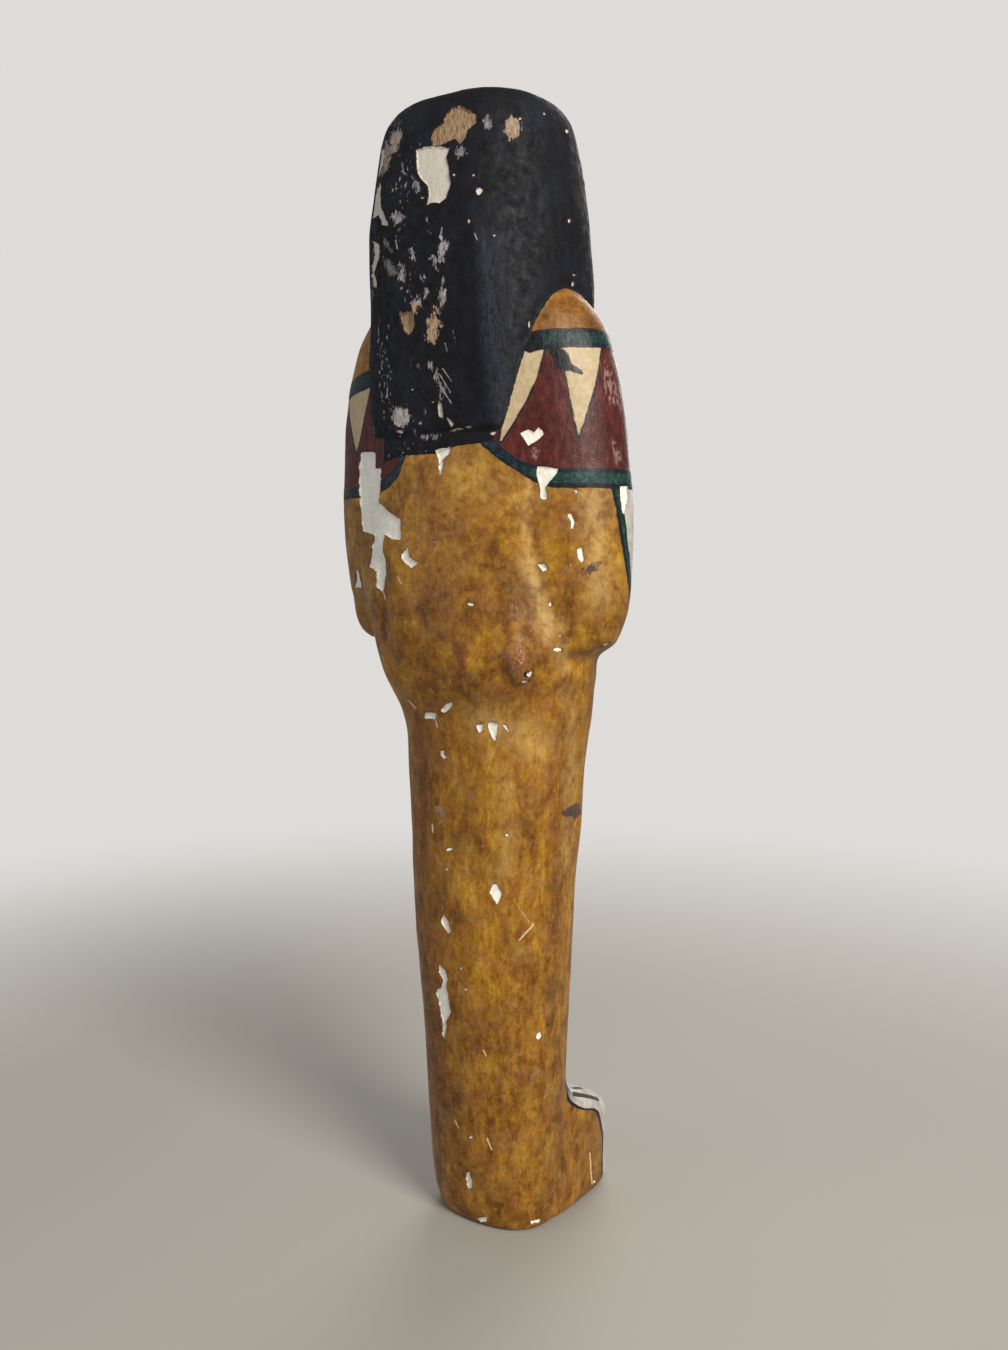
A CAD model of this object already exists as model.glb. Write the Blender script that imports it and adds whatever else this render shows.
# Looks of the painted wooden ushabti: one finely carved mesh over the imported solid, its paint, gesso, wear and
# varnish as procedural materials, a plain pale floor, soft studio light and the camera.
import math

import bmesh
import bpy
import numpy as np
from mathutils import Matrix, Vector


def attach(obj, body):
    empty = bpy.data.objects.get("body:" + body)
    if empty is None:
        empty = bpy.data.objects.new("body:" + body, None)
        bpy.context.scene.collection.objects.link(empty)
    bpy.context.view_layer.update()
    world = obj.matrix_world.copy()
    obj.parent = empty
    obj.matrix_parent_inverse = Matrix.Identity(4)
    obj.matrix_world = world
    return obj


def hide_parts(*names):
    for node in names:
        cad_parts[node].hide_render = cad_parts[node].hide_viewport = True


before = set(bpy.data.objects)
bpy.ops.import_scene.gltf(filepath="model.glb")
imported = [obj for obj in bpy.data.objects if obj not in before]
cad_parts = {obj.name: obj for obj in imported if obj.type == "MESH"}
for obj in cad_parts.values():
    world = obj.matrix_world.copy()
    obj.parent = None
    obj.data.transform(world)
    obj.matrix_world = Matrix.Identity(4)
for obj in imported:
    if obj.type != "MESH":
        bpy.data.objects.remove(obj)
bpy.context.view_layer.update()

# ---- the carving, in millimetres -------------------------------------------------------------------------------
# Same frame as the construction: it faces -Y, +Z up. MID is the middle of its footprint, which the row puts at 0, 0.
MID = np.array([3.732, -2.225, 0.0])
HEIGHT = 236.0

AXIS = [[0, 0, 0], [60, 0, 0.1], [108, 0, 0.3], [122, 1.5, 0.8], [140, 3.6, 1.6], [180, 3.9, 1.5], [200, 3.2, 1.1], [236, 3.2, 1.2]]
BODY = [
    [0, 13.8, 1.5, 13.0, 9.8], [5, 14.3, 1.8, 12.8, 11.4], [14, 14.7, 2.2, 12.6, 12.4], [32, 15.2, 2.6, 13.0, 13.6], [69, 17.1, 2.8, 14.0, 16.0],
    [88, 18.3, 2.9, 15.2, 16.2], [100, 18.9, 3.0, 16.0, 16.4], [106, 19.4, 3.0, 16.3, 16.6], [111, 20.5, 3.0, 16.6, 17.2], [116, 21.9, 3.0, 16.8, 18.7], [120, 23.4, 3.0, 17.0, 19.6],
    [127, 24.6, 3.0, 17.0, 20.0], [150, 24.4, 3.0, 17.0, 18.6], [172, 23.5, 3.4, 17.0, 16.8], [188, 20.0, 4.6, 15.0, 14.0],
    [200, 13.0, 6.0, 11.0, 10.0],
]
ARMS = [
    [121.5, 22.0, 1.0, 9.0, 9.0], [124, 28.0, 1.0, 11.5, 12.0], [129, 32.2, 1.0, 13.5, 14.2], [138, 34.8, 1.2, 15.5, 16.4],
    [152, 35.5, 1.6, 17.0, 17.6], [165, 34.6, 2.0, 17.6, 17.4], [178, 33.0, 2.6, 17.2, 16.8], [188, 30.2, 3.4, 15.6, 15.4],
    [194, 26.4, 4.2, 13.4, 13.4], [198, 21.0, 5.0, 10.5, 10.8], [200.5, 14.0, 5.5, 7.0, 7.0],
]
WIG = [
    [150, 22.0, 3.0, 14.0, 16.6, 3.0], [164, 22.5, 3.0, 16.0, 17.8, 3.0], [180, 23.4, 3.0, 18.0, 18.6, 3.0],
    [196, 23.6, 3.0, 18.5, 19.7, 2.7], [210, 22.9, 3.0, 18.5, 20.0, 2.4], [218, 21.7, 3.0, 18.5, 19.4, 2.4],
    [225, 20.7, 3.0, 17.4, 18.3, 2.4], [230, 19.7, 3.0, 16.4, 17.2, 2.4], [233.6, 17.6, 3.0, 14.4, 15.2, 2.4],
    [236, 13.4, 3.0, 11.0, 11.4, 2.4],
]
HEM_Z, HEM_HALF, FLARE, BRIM_Z = 168.6, 16.3, 0.255, 192.0


def join(a, b, k):
    h = np.clip(0.5 + 0.5 * (b - a) / k, 0, 1)
    return b * (1 - h) + a * h - k * h * (1 - h)


def cut(a, b, k):
    return -join(-a, -b, k)


def step(e0, e1, x):
    t = np.clip((x - e0) / (e1 - e0), 0, 1)
    return t * t * (3 - 2 * t)


def stations(table):
    rows = np.array(table, float)
    at, values = rows[:, 0], rows[:, 1:]
    h = np.diff(at)
    d = np.diff(values, axis=0) / h[:, None]
    m = np.zeros_like(values)
    m[0], m[-1] = d[0], d[-1]
    same = d[:-1] * d[1:] > 0
    m[1:-1][same] = (2 * d[:-1] * d[1:] / np.where(same, d[:-1] + d[1:], 1))[same]

    def curve(z):
        z = np.clip(z, at[0], at[-1])
        i = np.clip(np.searchsorted(at, z, side="right") - 1, 0, len(h) - 1)
        t = (z - at[i]) / h[i]
        w = (2 * t**3 - 3 * t**2 + 1, (t**3 - 2 * t**2 + t) * h[i], -2 * t**3 + 3 * t**2, (t**3 - t**2) * h[i])
        return [w[0] * values[i, c] + w[1] * m[i, c] + w[2] * values[i + 1, c] + w[3] * m[i + 1, c] for c in range(values.shape[1])]

    return curve


axis_at, body_at, arms_at, wig_at = map(stations, (AXIS, BODY, ARMS, WIG))


def oval(x, y, half, mid, front, back, n):
    q = (np.abs(x) / half) ** n + (np.abs(y - mid) / np.where(y > mid, back, front)) ** n
    return (q ** (1 / n) - 1) * np.minimum(half, np.minimum(front, back))


def egg(x, y, z, c, r):
    return (np.sqrt(((x - c[0]) / r[0]) ** 2 + ((y - c[1]) / r[1]) ** 2 + ((z - c[2]) / r[2]) ** 2) - 1) * min(r)


def limb(x, y, z, a, b, ra, rb):
    d = np.subtract(b, a)
    t = np.clip(((x - a[0]) * d[0] + (y - a[1]) * d[1] + (z - a[2]) * d[2]) / (d @ d), 0, 1)
    return np.sqrt((x - a[0] - d[0] * t) ** 2 + (y - a[1] - d[1] * t) ** 2 + (z - a[2] - d[2] * t) ** 2) - (ra + (rb - ra) * t)


def local(p):
    """Distances from the bent axis: x across, y back, z up."""
    ax, ay = axis_at(p[:, 2])
    return p[:, 0] - ax, p[:, 1] - ay, p[:, 2]


def body_form(x, y, z):
    lean = 0.35 * step(76, 88, z) * (1 - step(128, 136, z)) + 0.45 * step(98, 108, z) * (1 - step(112, 121, z))
    f = cut(oval(x + lean, y, *body_at(z), 2.35), z - 200, 3)
    arms = oval(x - 0.8 * (1 - step(126, 134, z)), y, *arms_at(z), 2.05)
    arms = cut(cut(arms, 125.4 + 0.035 * x - z, 2.6), z - 199.5, 3)
    arms = join(arms, egg(x, y, z, (27.9, 4.3, 131.7), (4.5, 5.0, 5.9)), 1.5)  # the left elbow is the fuller one
    f = join(f, arms, 2 - 0.03 * np.clip(x, -30, 30))
    foot = oval(x, y, 14.9, -11.5, 17.2, 14.0, 2.8)
    foot = cut(foot, (z - (17.2 + (y + 28) * 0.50)) * 0.90, 4)
    # a small healed knot on the seat, on the figure's right
    f = join(f, egg(x, y, z, (-17.3, 17.1, 123.2), (3.1, 2.9, 4.8)), 0.7)
    return join(f, foot, 4 - 2.4 * step(10, 18, z))


def hands_form(x, y, z):
    """Fists on the chest: the right one lies a little further out."""
    f = np.full(x.shape, 50.0)
    for s, lift in ((1, 0.0), (-1, 1.3)):
        g = egg(s * x, y, z, (-8.3, -14.4 - lift, 160.2), (5.4, 4.0, 4.9))
        for k in range(4):  # fingers folded over, side by side across the fist
            o = -3.3 + 2.2 * k
            cx, cz = -8.9 + o * 0.64, 161.0 + o * 0.747
            a = (cx + 2.0, -17.3 - lift, cz - 1.7)
            b = (cx - 2.2, -16.9 - lift, cz + 1.9)
            g = join(g, limb(s * x, y, z, a, b, 1.15, 1.05), 0.5)
        g = join(g, limb(s * x, y, z, (-4.4, -16.6 - lift, 163.2), (-7.6, -17.6 - lift, 165.2), 1.2, 1.0), 0.5)  # thumb
        f = np.minimum(f, g)
    return f


def sleeves_form(x, y, z):
    f = np.full(x.shape, 50.0)
    for s, lift in ((1, 0.0), (-1, 1.3)):
        f = np.minimum(f, limb(s * x, y, z, (21.5, -6.8, 133.5), (-5.5, -13.6 - lift, 156.5), 6.2, 4.6))
    return f


def wig_form(x, y, z):
    side = np.abs(x)
    edge = HEM_HALF + (z - 166) * FLARE + np.maximum(z - 197, 0) ** 2 * 0.35 - np.where(x > 0, 1.8 * (1 - step(190, 210, z)), 0)
    half, mid, front, back, n = wig_at(z)
    half = half - np.where(x > 0, 2.2 * (1 - step(190, 212, z)), 0)
    wig = cut(oval(x, y, half, mid, front, back, n), z - HEIGHT, 2)
    wig = cut(wig, (side - edge) * 0.95, 1.4)
    wig = cut(wig, HEM_Z - z, 0.9)
    wig = cut(wig, join(3 - y, BRIM_Z - z, 3), 1.2)
    lappet = oval(side - 12.6, y - (z - 168) * 0.03, 5.6, 0, 18.2, 10, 3)
    lappet = cut(cut(cut(lappet, 171 - z, 0.8), z - 203, 4), y - 2, 1)
    return join(wig, lappet, 2.5)


def face_form(x, y, z):
    side = np.abs(x)
    f = egg(x, y, z, (0, -7.4, 206.5), (12.6, 14.4, 16.6))
    f = join(f, egg(x, y, z, (0, -11.5, 196.2), (8.6, 9.6, 7.0)), 4)
    # sockets, then eyeballs, lids and brows
    f = cut(f, -egg(side, y, z, (4.9, -22.6, 207.6), (3.6, 2.0, 2.2)), 1.6)
    f = join(f, egg(side, y, z, (4.7, -19.5, 207.2), (2.7, 1.6, 1.55)), 0.5)
    f = join(f, limb(side, y, z, (2.6, -21.2, 210.6), (8.0, -19.0, 210.3), 0.55, 0.45), 1.0)
    # nose with its wings
    f = join(f, limb(x, y, z, (0, -20.6, 210.5), (0, -23.0, 203.2), 0.8, 1.5), 1.5)
    f = join(f, egg(side, y, z, (1.55, -21.5, 202.6), (1.15, 1.3, 1.1)), 0.7)
    # lips and chin
    f = join(f, egg(side, y, z, (1.1, -21.3, 198.7), (2.2, 0.95, 0.75)), 0.5)
    f = join(f, egg(x, y, z, (0, -21.1, 197.2), (2.3, 1.0, 0.8)), 0.4)
    f = join(f, egg(x, y, z, (0, -18.8, 193.4), (3.2, 2.4, 2.4)), 1.5)
    return f


def beard_form(x, y, z):
    return limb(x, y, z, (0, -16.0, 192), (0, -18.2, 175.5), 2.8, 3.6)


def ears_form(x, y, z):
    side = np.abs(x)
    f = egg(side, y, z, (14.2, -12.4, 206.5), (2.3, 2.9, 5.0))
    return cut(f, -egg(side, y, z, (14.9, -15.4, 207.0), (1.2, 1.1, 2.8)), 0.7)


def shape(p):
    x, y, z = local(p)
    f = body_form(x, y, z)
    f = join(f, sleeves_form(x, y, z), 3)
    f = join(f, hands_form(x, y, z), 0.8)
    f = join(f, wig_form(x, y, z), 0.35)
    f = join(f, face_form(x, y, z), 0.5)
    f = join(f, beard_form(x, y, z), 0.8)
    return join(f, ears_form(x, y, z), 0.5)


def reach(start, way, guess=None):
    """Length from start along way to the outermost surface. With a guess, it looks only near there."""
    if guess is None:
        inner = np.full(len(start), 0.4)
        outer = np.full(len(start), 47.0)
        found = np.zeros(len(start), bool)
        last = 47.0
        for r in np.arange(46.0, 0.4, -0.9):
            new = (~found) & (shape(start + way * r) < 0)
            inner[new], outer[new] = r, last
            found |= new
            last = r
            if found.all():
                break
    else:
        inner, outer = np.maximum(guess - 1.6, 0.1), guess + 1.6
        bad = (shape(start + way * inner[:, None]) > 0) | (shape(start + way * outer[:, None]) < 0)
        inner[bad], outer[bad] = guess[bad] - 6, guess[bad] + 6
    for _ in range(15):
        mid = (inner + outer) / 2
        inside = shape(start + way * mid[:, None]) < 0
        inner = np.where(inside, mid, inner)
        outer = np.where(inside, outer, mid)
    return (inner + outer) / 2


# ---- blank: rings of points drawn out to the surface ------------------------------------------------------------
ROUND, CROWN = 2.2, 221.0
AROUND = 190
RISE = 0.92


def hub(z):
    ax, ay = axis_at(np.asarray(z, float))
    return np.stack([ax, ay + 3, np.asarray(z, float) + 0 * ax], -1)


turns = np.arange(AROUND) * 2 * math.pi / AROUND
turns = turns - 0.12 * np.cos(turns)
flat = np.stack([np.cos(turns), np.sin(turns), 0 * turns], -1)
rings = []
foot_hub = hub(ROUND)
foot_reach = reach(np.repeat(foot_hub[None], AROUND, 0), flat)
for t in (0.0, 0.25, 0.5, 0.75):
    a = t * math.pi / 2
    ring = foot_hub + flat * (foot_reach - ROUND * (1 - math.sin(a)))[:, None]
    ring[:, 2] = ROUND * (1 - math.cos(a))
    rings.append(ring)
levels = np.arange(ROUND, CROWN, RISE)
centres = np.repeat(hub(levels)[:, None], AROUND, 1).reshape(-1, 3)
ways = np.repeat(flat[None], len(levels), 0).reshape(-1, 3)
found = centres + ways * reach(centres, ways)[:, None]
rings += list(found.reshape(len(levels), AROUND, 3))
top_hub = hub(levels[-1])
for lift in np.radians(np.concatenate([np.arange(2.4, 60, 2.4), np.arange(60, 88, 3.2)])):
    w = np.stack([np.cos(turns) * math.cos(lift), np.sin(turns) * math.cos(lift), np.full(AROUND, math.sin(lift))], -1)
    rings.append(top_hub + w * reach(np.repeat(top_hub[None], AROUND, 0), w)[:, None])
crown_point = top_hub + np.array([0, 0, 1.0]) * reach(top_hub[None], np.array([[0, 0, 1.0]]))[0]
sole_point = foot_hub * [1, 1, 0]

points = np.concatenate([np.concatenate(rings), sole_point[None], crown_point[None]])
n_rings = len(rings)
idx = np.arange(n_rings * AROUND).reshape(n_rings, AROUND)
nxt = np.roll(idx, -1, 1)
quads = np.stack([idx[:-1], nxt[:-1], nxt[1:], idx[1:]], -1).reshape(-1, 4)
sole, crown = n_rings * AROUND, n_rings * AROUND + 1
caps = [(sole, int(nxt[0, i]), int(idx[0, i])) for i in range(AROUND)]
caps += [(crown, int(idx[-1, i]), int(nxt[-1, i])) for i in range(AROUND)]

# ---- the camera, which also places the wear that the photograph shows --------------------------------------------
# Camera fit: 1200 px focal length over the 1350 px height, principal point in the middle of the frame.
FOCAL, CENTRE_U, CENTRE_V = 1200.0, 504.0, 675.0
VIEW_TURN, EYE_DIST, EYE_Z, EYE_LEVEL = math.radians(35), 258.6, 141.7, 568.0
pitch = math.atan((CENTRE_V - EYE_LEVEL) / FOCAL)
toward = np.array([-math.sin(VIEW_TURN), math.cos(VIEW_TURN), 0.0])
right = np.array([-math.cos(VIEW_TURN), -math.sin(VIEW_TURN), 0.0])
eye = toward * EYE_DIST + np.array([0, 0, EYE_Z])
ahead = -toward * math.cos(pitch) - np.array([0, 0, math.sin(pitch)])
above = -toward * math.sin(pitch) + np.array([0, 0, math.cos(pitch)])


def in_photo(p):
    d = p - eye
    depth = d @ ahead
    return CENTRE_U + FOCAL * (d @ right) / depth, CENTRE_V - FOCAL * (d @ above) / depth, depth


def polygon_depth(u, v, corners):
    """Distance inside a polygon, negative outside, in the corners' units."""
    c = np.array(corners, float)
    near = (u > c[:, 0].min() - 30) & (u < c[:, 0].max() + 30) & (v > c[:, 1].min() - 30) & (v < c[:, 1].max() + 30)
    out = np.full(u.shape, -30.0)
    pu, pv = u[near], v[near]
    dist = np.full(pu.shape, 1e9)
    inside = np.zeros(pu.shape, bool)
    for (x0, y0), (x1, y1) in zip(c, np.roll(c, -1, 0)):
        ex, ey = x1 - x0, y1 - y0
        t = np.clip(((pu - x0) * ex + (pv - y0) * ey) / (ex * ex + ey * ey + 1e-12), 0, 1)
        dist = np.minimum(dist, np.hypot(pu - x0 - ex * t, pv - y0 - ey * t))
        cross = ((y0 > pv) != (y1 > pv)) & (pu < ex * (pv - y0) / (ey if ey else 1e-12) + x0)
        inside ^= cross
    out[near] = np.where(inside, dist, -dist)
    return out


def spot_depth(u, v, cu, cv, ru, rv, lean=0.0):
    a = math.radians(lean)
    du, dv = u - cu, v - cv
    x, y = du * math.cos(a) + dv * math.sin(a), -du * math.sin(a) + dv * math.cos(a)
    return (1 - np.hypot(x / ru, y / rv)) * min(ru, rv)


def line_depth(u, v, pts, half):
    dist = np.full(u.shape, 1e9)
    for (x0, y0), (x1, y1) in zip(pts[:-1], pts[1:]):
        ex, ey = x1 - x0, y1 - y0
        t = np.clip(((u - x0) * ex + (v - y0) * ey) / (ex * ex + ey * ey), 0, 1)
        dist = np.minimum(dist, np.hypot(u - x0 - ex * t, v - y0 - ey * t))
    return half - dist


# Chips down to the white gesso on the body, by their corners in the photograph.
CHIPS_BODY = [
    [(362, 452), (375, 452), (376, 461), (381, 471), (380, 485), (379, 503), (390, 513), (400, 519), (400, 540), (391, 539), (384, 534),
     (382, 546), (383, 572), (379, 592), (374, 586), (375, 572), (369, 566), (371, 552), (374, 535), (363, 531), (361, 507), (360, 490), (359, 470)],
    [(436, 443), (444, 443), (450, 447), (449, 454), (443, 459), (441, 476), (439, 473), (438, 459), (435, 450)],
    [(520, 433), (528, 429), (534.5, 432), (538, 426.5), (544.5, 433), (539, 439), (528, 445.5), (525, 440)],
    [(537, 466), (545, 466.5), (558.5, 468.5), (555.5, 475), (550.5, 480), (545, 487), (547, 498.5), (544, 500), (539.7, 497.5), (539.7, 487), (536, 474)],
    [(567, 514.5), (571.3, 513), (573, 518), (575, 521), (573, 529.7), (570.8, 528), (571.3, 522), (568.8, 517)],
    [(577, 548.6), (582, 547), (584, 560), (582, 563), (578, 558)],
    [(537, 564), (545.3, 564), (547.3, 570), (543.3, 572)],
    [(401, 554), (407.6, 546.5), (408.6, 557), (418, 563), (411.6, 568), (408.6, 566), (401.4, 560)],
    [(356.5, 569), (359.6, 576), (361.6, 588.4), (355.5, 587.3)],
    [(440, 710), (445.3, 704.6), (451.3, 703), (449.6, 709), (444.4, 713.2), (440, 712.4)],
    [(424.3, 713), (435, 714), (435, 720), (423.7, 718.4)],
    [(475.4, 725.3), (483.2, 724.4), (482.3, 731.3), (479, 732.2)],
    [(487.8, 722), (498.7, 723.6), (497.8, 731.3), (495.2, 741.7), (491.8, 736.5), (488.3, 728.7)],
    [(502, 724), (506.4, 725), (509.5, 733)],
    [(441, 751), (444.4, 750.3), (444.4, 753.7), (447, 758), (444.4, 758.5), (441, 754.6)],
    [(492.6, 884.6), (497, 884.6), (502, 894), (499.5, 901), (497, 905.3), (493.5, 899), (489.2, 893)],
    [(444.4, 914), (448.7, 921), (451.3, 931), (448.7, 933.7), (444.4, 927.6), (441.5, 921)],
    [(440.6, 964), (446, 971.6), (447.8, 979), (446, 986), (447.8, 997), (450, 1011), (447.8, 1018.4), (445, 1022), (446, 1026), (443.6, 1039),
     (441.7, 1033.7), (442, 1022), (439.8, 1016.5), (438.3, 1003), (435.8, 993.6), (437.3, 989), (441, 988), (443, 980), (439.8, 972.5)],
    [(536.8, 1033.7), (540.6, 1031.8), (541.6, 1036.6), (537.8, 1040), (536, 1037.6)],
    [(466, 1173.4), (469.3, 1171.5), (471.7, 1181), (471.2, 1188.7), (468, 1189.7), (466, 1181)],
    [(476, 1219), (482, 1217.5), (487, 1217), (487, 1221), (481.3, 1222)],
    [(530, 1221), (536, 1219.5), (541, 1219.5), (538, 1223), (531, 1224)],
    [(592.3, 1181), (596, 1180), (595, 1184)],
    [(574.4, 491.4), (576.4, 488.4), (578.5, 493.5)],
    [(620, 486), (627, 486), (627, 500), (624, 516), (621.5, 504)],
]
SPOTS_BODY = [
    (570.8, 565, 1.6, 1.6, 0), (471, 604.3, 3.6, 1.4, 10), (550.4, 604.7, 1.4, 2.2, 0), (558.6, 650, 4.2, 1.8, 5), (606, 645, 3.4, 1.3, -25),
    (525, 682, 3.2, 1.7, 15), (531, 674, 1.4, 3.4, 15), (449.6, 849.3, 3.0, 1.3, -10), (466, 989.7, 1.4, 1.2, 0), (462, 968, 1.1, 1.1, 0),
    (471.7, 1137, 1.6, 1.2, 0), (507, 835, 1.6, 1.2, 0), (447, 869, 1.0, 1.6, 0), (433, 542, 0.9, 0.9, 0), (561, 636, 1.2, 1.2, 0),
]
# Long scratches through the paint: points, half width.
SCRATCHES = [
    ([(520, 940), (532, 927), (533.5, 924)], 0.8), ([(514, 900), (529.6, 922.5)], 0.35), ([(589.4, 1153), (592.3, 1184)], 0.7),
    ([(435, 720), (437.5, 727)], 0.6), ([(407, 701), (415, 709)], 0.6), ([(397.3, 576), (401.4, 584.3)], 0.5), ([(379, 590), (381.5, 601)], 0.5),
    ([(483, 1050), (486, 1056)], 0.7), ([(432.6, 824), (433, 833)], 0.7), ([(596, 500), (590, 512), (600, 545)], 0.25),
    ([(455, 1120), (459, 1128)], 0.5), ([(487, 1138), (492, 1150)], 0.8),
]
# Chips on the wig down to gesso, then down to the wood.
CHIPS_WIG = [
    [(416, 150), (426, 146), (439.6, 145.5), (449, 148), (445.7, 157), (448, 168), (450.3, 183), (445.7, 198), (439.6, 203), (435, 202),
     (426, 204.4), (429, 195), (426.6, 184.5), (420.5, 178.4), (416.6, 170.7), (416.6, 158.5)],
    [(372, 241), (378.4, 244), (380, 253.4), (377, 265.6), (374.5, 273.3), (377, 290), (374.5, 287), (372, 279.4), (371, 265.6), (374, 255)],
    [(384.5, 146), (383, 164.6), (376.8, 183), (372, 183), (376, 170.7), (379, 154)],
    [(380.7, 183), (381.4, 207.5), (389, 226), (383, 225), (379, 215), (370.5, 219), (372.2, 201), (376.8, 189)],
    [(437.6, 400), (441.4, 404), (442.4, 418.3), (438.5, 416.4)],
    [(446, 416.4), (453, 423), (451, 427)],
    [(476.3, 189), (480, 187.5), (483.4, 190), (480, 195.5), (477, 194.5)],
]
SPOTS_WIG = [
    (474, 175.3, 1.2, 1.2, 0), (454, 174.5, 1.2, 1.2, 0), (469.7, 221.6, 1.2, 2.0, 0), (494.4, 235.8, 1.1, 1.1, 0), (400.3, 431.7, 3.2, 1.5, 10),
    (493, 433.2, 3.0, 1.6, -15), (567.4, 131, 1.6, 2.2, -20), (573.5, 284, 1.2, 2.4, 0), (574.3, 275, 1.6, 0.9, 0), (568.2, 221, 1.0, 1.8, 0),
    (420.4, 423, 1.6, 1.4, 0), (425, 411.6, 0.9, 2.4, 0), (432.8, 402, 1.1, 1.1, 0), (412.7, 389.6, 1.0, 1.0, 0), (422.5, 197.5, 1.6, 1.0, 0),
    (529.5, 324, 1.1, 3.6, 10), (520.5, 118, 1.3, 1.2, 0), (544.7, 113.5, 1.2, 1.0, 0), (457, 430, 6.0, 0.8, -8), (468, 427.6, 3.0, 0.9, 0),
]
WOOD_WIG = [
    [(452, 106.4), (459.5, 103.7), (465.6, 108), (476.3, 112.6), (475.6, 121.7), (467, 129.4), (465.6, 137), (459.5, 143), (455, 137.8),
     (445.7, 141), (439.6, 144), (432, 145.5), (430.7, 137), (432.7, 128.6), (442.7, 121.7), (445.7, 114)],
    [(399.7, 311.5), (407, 312.6), (411.3, 309.4), (413.4, 315.7), (414, 325), (411.3, 331.5), (407.6, 334.7), (404, 330.5), (401.8, 323), (400.3, 317.8)],
]
# Paint rubbed thin, so that the grey ground comes through: corners, then how far through.
SCUFFS = [
    ([(440.8, 228), (442.3, 239), (446, 238), (449.2, 245), (447, 247), (444.4, 251.6), (443.4, 263), (440, 264), (437.6, 261), (434, 263),
      (429.7, 259), (432.3, 256), (436.6, 258), (438.7, 252.6), (437.6, 247), (440, 239)], 0.8),
    ([(411.3, 248.4), (414.5, 252.6), (416.6, 261), (414.5, 262), (409.7, 254.7)], 0.75),
    ([(400.8, 261), (403.4, 266), (403.4, 281), (400.8, 282), (398.7, 278), (399.7, 269)], 0.6),
    ([(396.6, 210.5), (405, 217), (401.8, 222), (396.6, 225), (395.5, 219), (391.8, 217)], 0.7),
    ([(385, 237), (388.7, 243), (391.3, 251.6), (387.6, 248.4), (385.5, 243)], 0.45),
    ([(383, 258), (396.6, 267), (399.7, 275), (390, 275), (386, 266)], 0.35),
    ([(439, 284), (445, 290.5), (445.5, 300), (443, 308), (440, 306), (438.7, 299), (438, 291.5)], 0.75),
    ([(416.6, 294.7), (421.8, 301), (420, 308.4), (417.6, 307), (415.5, 313), (411.8, 308.4), (412.4, 303)], 0.75),
    ([(434, 306), (440, 310.5), (438.7, 314), (434, 312.6)], 0.95),
    ([(432.3, 313.6), (437.6, 318), (443, 327), (437.6, 327.5), (437.6, 336), (434.5, 345), (431.3, 341), (425, 339), (428, 331.5), (426, 320), (429, 317)], 0.9),
    ([(396.7, 128), (402, 132.5), (399.8, 143), (393.7, 154), (389, 151), (389.8, 135.5)], 0.7),
    ([(386, 140), (390, 150), (388, 168), (382, 176), (382, 152)], 0.5),
    ([(506, 120), (512, 115), (519, 121), (522, 130), (517, 137), (509, 139), (505, 131)], 0.55),
    ([(484, 118), (488, 115), (491, 122), (489, 130), (485, 127)], 0.4),
    ([(455, 148), (465, 145), (466, 153), (458, 158)], 0.4),
    ([(411, 178), (419, 181), (421, 191), (415, 193)], 0.45),
    ([(437, 383), (441, 379), (444, 392), (441, 399)], 0.5),
    ([(427, 358), (433, 362), (432, 369), (427, 367)], 0.6),
    ([(434, 371), (438, 371), (438, 379), (435, 380)], 0.6),
    ([(420, 436), (440, 434), (438, 439), (424, 439)], 0.45),
]
SCUFF_SPOTS = [
    (401.2, 417.3, 9.0, 9.6, -15, 0.85), (424, 276.8, 2.2, 2.8, 0, 0.7), (437, 269, 2.0, 2.2, 0, 0.6), (442.3, 279.4, 1.5, 2.6, 0, 0.7),
    (425, 292.6, 2.0, 2.8, 0, 0.6), (430, 232.6, 1.4, 1.4, 0, 0.5), (426.6, 220.5, 1.5, 2.0, 0, 0.5), (441, 806, 1, 1, 0, 0.0),
]
FINE_LINES_WIG = [
    ([(442.4, 368.5), (451, 381)], 0.45), ([(439.5, 374), (450, 392.5)], 0.45), ([(440.5, 387), (451, 403)], 0.5), ([(475.3, 234), (478, 241)], 0.5),
    ([(453, 330), (456, 345)], 0.2), ([(396, 240), (398, 250)], 0.5), ([(445, 343), (447, 352)], 0.4),
]
# Dark marks: smudges of the wig's colour on the body, and stains.
DARK_MARKS = [
    [(581, 568), (595.3, 562), (603.5, 560), (597.3, 570), (587, 577), (582, 574)],
    [(561.5, 813), (569.3, 807), (576, 803), (580.4, 804.5), (581.3, 814), (576, 821), (572.7, 816.6), (565, 816.6)],
    [(549, 352), (556, 347.5), (563, 348.5), (569, 354), (571.5, 363), (584, 371.5), (583, 375.5), (570, 370.5), (562, 371), (555.5, 366), (553, 359)],
    [(521, 338), (532, 333.5), (541, 335), (545, 342), (541.5, 349), (530, 353), (523, 350)],
]
DARK_SPOTS = [(478, 647.6, 1.1, 1.1, 0), (480.6, 669, 1.8, 1.8, 0), (532, 613.5, 1.2, 1.0, 0), (485, 582, 0.8, 0.8, 0), (493, 1024.2, 4.2, 0.7, 0),
              (527, 674, 3.6, 3.2, 20), (573.5, 388, 1.2, 1.2, 0)]
GREY_MARKS = [
    [(434, 807), (440, 805), (446, 817.4), (442.7, 824), (436.7, 814)], [(603, 358), (611, 370), (617, 402), (611, 407), (605, 388)],
    [(612, 438), (620, 446), (623, 466), (616, 463)], [(530, 445), (540, 451), (537, 462), (531, 456)], [(612, 375), (618, 390), (621, 412), (616, 404)],
]

# Bars along the edge of the instep, in millimetres from the axis, with their half width.
FOOT_BARS = [
    ((-13.6, -6.6, 27.6), (-12.0, -14.2, 24.0), 0.52), ((-14.2, -6.8, 25.9), (-13.9, -18.1, 20.4), 0.52),
]
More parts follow.
